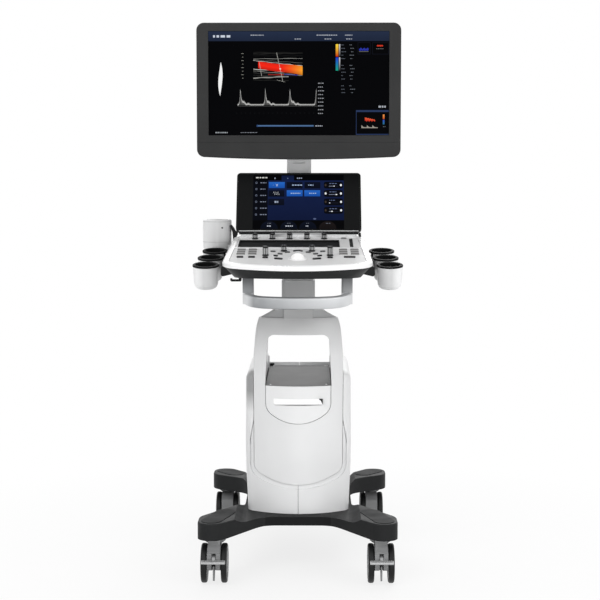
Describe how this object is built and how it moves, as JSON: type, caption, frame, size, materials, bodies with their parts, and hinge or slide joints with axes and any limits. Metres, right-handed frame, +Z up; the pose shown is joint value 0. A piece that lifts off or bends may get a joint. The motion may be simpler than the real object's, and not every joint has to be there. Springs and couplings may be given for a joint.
{
  "type": "ultrasound scanner",
  "caption": "Wheeled cart ultrasound scanner with height-adjustable console, touch panel, tilting monitor, probe cups, gel warmer, handle and printer shelf.",
  "frame": {"origin": "on the floor, at the middle of the overall length and width", "axes": "+Z up, the operator stands at -Y, +X is the operator's right"},
  "size_m": [0.54, 0.7347, 1.412],
  "materials": {
    "base": "fine textured dark grey",
    "foot_pad": "ribbed black rubber",
    "frame_steel": "powder coated",
    "white_cover": "satin white",
    "rear_panel": "fine textured light grey",
    "shelf_steel": "fine textured grey",
    "inlet": "black",
    "unit_metal": "brushed",
    "ports": "satin dark grey",
    "neck": "satin grey",
    "mast": "clear anodised",
    "spring_body": "gloss black",
    "spring_rod": "polished",
    "caster_fork": "satin grey",
    "caster_wheel": "black tread with grey hub faces",
    "caster_pedal": "light grey",
    "lower_shell": "fine textured black",
    "console_rim": "satin white",
    "deck": "satin light grey",
    "tray": "black",
    "handle": "silver grey",
    "hook": "black",
    "holder": "satin white",
    "liner": "black",
    "warmer": "satin white",
    "ball": "polished",
    "ball_ring": "satin",
    "hinge": "black",
    "knob": "soft black with a bright waist",
    "key": "satin dark grey",
    "power_key": "lit",
    "touch_housing": "black",
    "touch_glass": "glass over a lit panel",
    "post": "satin silver grey",
    "bracket": "satin silver grey",
    "monitor_shell": "fine textured dark grey",
    "screen": "lit panel"
  },
  "bodies": {
    "cart": {"base_chassis": "base", "foot_pads": "foot_pad", "column_frame": "frame_steel", "front_shield": "white_cover", "pocket_panel": "white_cover", "side_cover_left": "white_cover", "side_cover_right": "white_cover", "rear_cover": "rear_panel", "printer_shelf": "shelf_steel", "lift_neck": "neck", "power_inlet": "inlet", "gas_spring_cylinder": "spring_body", "electronics_unit": "unit_metal", "probe_ports": "ports"},
    "lift": {"lift_mast": "mast", "gas_spring_rod": "spring_rod"},
    "console": {"console_lower_shell": "lower_shell", "console_upper_shell": "console_rim", "key_deck": "deck", "inset_tray": "tray", "handle": "handle", "cable_hook": "hook", "holder_left_shell": "holder", "holder_right_shell": "holder", "holder_liners": "liner", "gel_warmer": "warmer", "trackball_ring": "ball_ring", "touch_hinge": "hinge"},
    "touch_panel": {"touch_housing": "touch_housing", "touch_glass": "touch_glass"},
    "post": {"monitor_post": "post"},
    "monitor": {"monitor_bracket": "bracket", "monitor_back": "monitor_shell", "monitor_bezel": "monitor_shell", "monitor_screen": "screen"},
    "trackball": {"trackball": "ball"},
    "caster_front_left": {"caster_front_left_fork": "caster_fork"},
    "caster_front_left_wheels": {"caster_front_left_wheels": "caster_wheel"},
    "caster_front_left_pedal": {"caster_front_left_pedal": "caster_pedal"},
    "caster_rear_left": {"caster_rear_left_fork": "caster_fork"},
    "caster_rear_left_wheels": {"caster_rear_left_wheels": "caster_wheel"},
    "caster_front_right": {"caster_front_right_fork": "caster_fork"},
    "caster_front_right_wheels": {"caster_front_right_wheels": "caster_wheel"},
    "caster_front_right_pedal": {"caster_front_right_pedal": "caster_pedal"},
    "caster_rear_right": {"caster_rear_right_fork": "caster_fork"},
    "caster_rear_right_wheels": {"caster_rear_right_wheels": "caster_wheel"},
    "knob_rear_1": {"knob_rear_1": "knob"},
    "knob_rear_2": {"knob_rear_2": "knob"},
    "knob_rear_3": {"knob_rear_3": "knob"},
    "knob_rear_4": {"knob_rear_4": "knob"},
    "knob_rear_5": {"knob_rear_5": "knob"},
    "knob_tall_left": {"knob_tall_left": "knob"},
    "knob_short_left": {"knob_short_left": "knob"},
    "knob_tall_right": {"knob_tall_right": "knob"},
    "knob_short_right": {"knob_short_right": "knob"},
    "keys_left": {"keys_left": "key"},
    "keys_right": {"keys_right": "key"},
    "arc_keys_left": {"arc_keys_left": "key"},
    "arc_keys_right": {"arc_keys_right": "key"},
    "power_key": {"power_key": "power_key"}
  },
  "joints": [
    {"name": "caster_front_left_swivel", "type": "hinge", "parent": "cart", "child": "caster_front_left", "pos_m": [-0.207, -0.238, 0.115], "axis": [0, 0, 1], "continuous": true},
    {"name": "caster_front_left_roll", "type": "hinge", "parent": "caster_front_left", "child": "caster_front_left_wheels", "pos_m": [-0.207, -0.256, 0.049], "axis": [1, 0, 0], "continuous": true},
    {"name": "caster_front_left_brake", "type": "hinge", "parent": "caster_front_left", "child": "caster_front_left_pedal", "pos_m": [-0.207, -0.278, 0.075], "axis": [1, 0, 0], "range_deg": [0, 12]},
    {"name": "caster_rear_left_swivel", "type": "hinge", "parent": "cart", "child": "caster_rear_left", "pos_m": [-0.207, 0.338, 0.115], "axis": [0, 0, 1], "continuous": true},
    {"name": "caster_rear_left_roll", "type": "hinge", "parent": "caster_rear_left", "child": "caster_rear_left_wheels", "pos_m": [-0.207, 0.32, 0.049], "axis": [1, 0, 0], "continuous": true},
    {"name": "caster_front_right_swivel", "type": "hinge", "parent": "cart", "child": "caster_front_right", "pos_m": [0.207, -0.238, 0.115], "axis": [0, 0, 1], "continuous": true},
    {"name": "caster_front_right_roll", "type": "hinge", "parent": "caster_front_right", "child": "caster_front_right_wheels", "pos_m": [0.207, -0.256, 0.049], "axis": [1, 0, 0], "continuous": true},
    {"name": "caster_front_right_brake", "type": "hinge", "parent": "caster_front_right", "child": "caster_front_right_pedal", "pos_m": [0.207, -0.278, 0.075], "axis": [1, 0, 0], "range_deg": [0, 12]},
    {"name": "caster_rear_right_swivel", "type": "hinge", "parent": "cart", "child": "caster_rear_right", "pos_m": [0.207, 0.338, 0.115], "axis": [0, 0, 1], "continuous": true},
    {"name": "caster_rear_right_roll", "type": "hinge", "parent": "caster_rear_right", "child": "caster_rear_right_wheels", "pos_m": [0.207, 0.32, 0.049], "axis": [1, 0, 0], "continuous": true},
    {"name": "lift", "type": "slide", "parent": "cart", "child": "lift", "axis": [0, 0, 1], "range_m": [0, 0.07]},
    {"name": "console_swivel", "type": "hinge", "parent": "lift", "child": "console", "pos_m": [0, -0.044, 0.77], "axis": [0, 0, 1], "range_deg": [-30, 30]},
    {"name": "touch_tilt", "type": "hinge", "parent": "console", "child": "touch_panel", "pos_m": [0, 0.024, 0.853], "axis": [1, 0, 0], "range_deg": [-5, 20]},
    {"name": "monitor_swivel", "type": "hinge", "parent": "console", "child": "post", "pos_m": [0, 0.092, 0.848], "axis": [0, 0, 1], "range_deg": [-35, 35]},
    {"name": "monitor_tilt", "type": "hinge", "parent": "post", "child": "monitor", "pos_m": [0, 0.19, 1.052], "axis": [1, 0, 0], "range_deg": [-20, 5]},
    {"name": "trackball_roll", "type": "hinge", "parent": "console", "child": "trackball", "pos_m": [0, -0.26982, 0.80489], "axis": [1, 0, 0], "continuous": true},
    {"name": "knob_rear_1_turn", "type": "hinge", "parent": "console", "child": "knob_rear_1", "pos_m": [-0.113, -0.02732, 0.84633], "axis": [0, -0.1564, 0.9877], "continuous": true},
    {"name": "knob_rear_2_turn", "type": "hinge", "parent": "console", "child": "knob_rear_2", "pos_m": [-0.068, -0.02732, 0.84633], "axis": [0, -0.1564, 0.9877], "continuous": true},
    {"name": "knob_rear_3_turn", "type": "hinge", "parent": "console", "child": "knob_rear_3", "pos_m": [-0.023, -0.02732, 0.84633], "axis": [0, -0.1564, 0.9877], "continuous": true},
    {"name": "knob_rear_4_turn", "type": "hinge", "parent": "console", "child": "knob_rear_4", "pos_m": [0.022, -0.02732, 0.84633], "axis": [0, -0.1564, 0.9877], "continuous": true},
    {"name": "knob_rear_5_turn", "type": "hinge", "parent": "console", "child": "knob_rear_5", "pos_m": [0.067, -0.02732, 0.84633], "axis": [0, -0.1564, 0.9877], "continuous": true},
    {"name": "knob_tall_left_turn", "type": "hinge", "parent": "console", "child": "knob_tall_left", "pos_m": [-0.0795, -0.23078, 0.81411], "axis": [0, -0.1564, 0.9877], "continuous": true},
    {"name": "knob_short_left_turn", "type": "hinge", "parent": "console", "child": "knob_short_left", "pos_m": [-0.035, -0.17942, 0.82224], "axis": [0, -0.1564, 0.9877], "continuous": true},
    {"name": "knob_tall_right_turn", "type": "hinge", "parent": "console", "child": "knob_tall_right", "pos_m": [0.0795, -0.23078, 0.81411], "axis": [0, -0.1564, 0.9877], "continuous": true},
    {"name": "knob_short_right_turn", "type": "hinge", "parent": "console", "child": "knob_short_right", "pos_m": [0.035, -0.17942, 0.82224], "axis": [0, -0.1564, 0.9877], "continuous": true},
    {"name": "keys_left_press", "type": "slide", "parent": "console", "child": "keys_left", "axis": [0, 0.1564, -0.9877], "range_m": [0, 0.0012], "stiffness_N_per_m": 1500, "springref_m": -0.0006},
    {"name": "keys_right_press", "type": "slide", "parent": "console", "child": "keys_right", "axis": [0, 0.1564, -0.9877], "range_m": [0, 0.0012], "stiffness_N_per_m": 1500, "springref_m": -0.0006},
    {"name": "arc_keys_left_press", "type": "slide", "parent": "console", "child": "arc_keys_left", "axis": [0, 0.1564, -0.9877], "range_m": [0, 0.0012], "stiffness_N_per_m": 1500, "springref_m": -0.0006},
    {"name": "arc_keys_right_press", "type": "slide", "parent": "console", "child": "arc_keys_right", "axis": [0, 0.1564, -0.9877], "range_m": [0, 0.0012], "stiffness_N_per_m": 1500, "springref_m": -0.0006},
    {"name": "power_key_press", "type": "slide", "parent": "console", "child": "power_key", "axis": [0, 0.1564, -0.9877], "range_m": [0, 0.0012], "stiffness_N_per_m": 400, "springref_m": -0.0006}
  ]
}
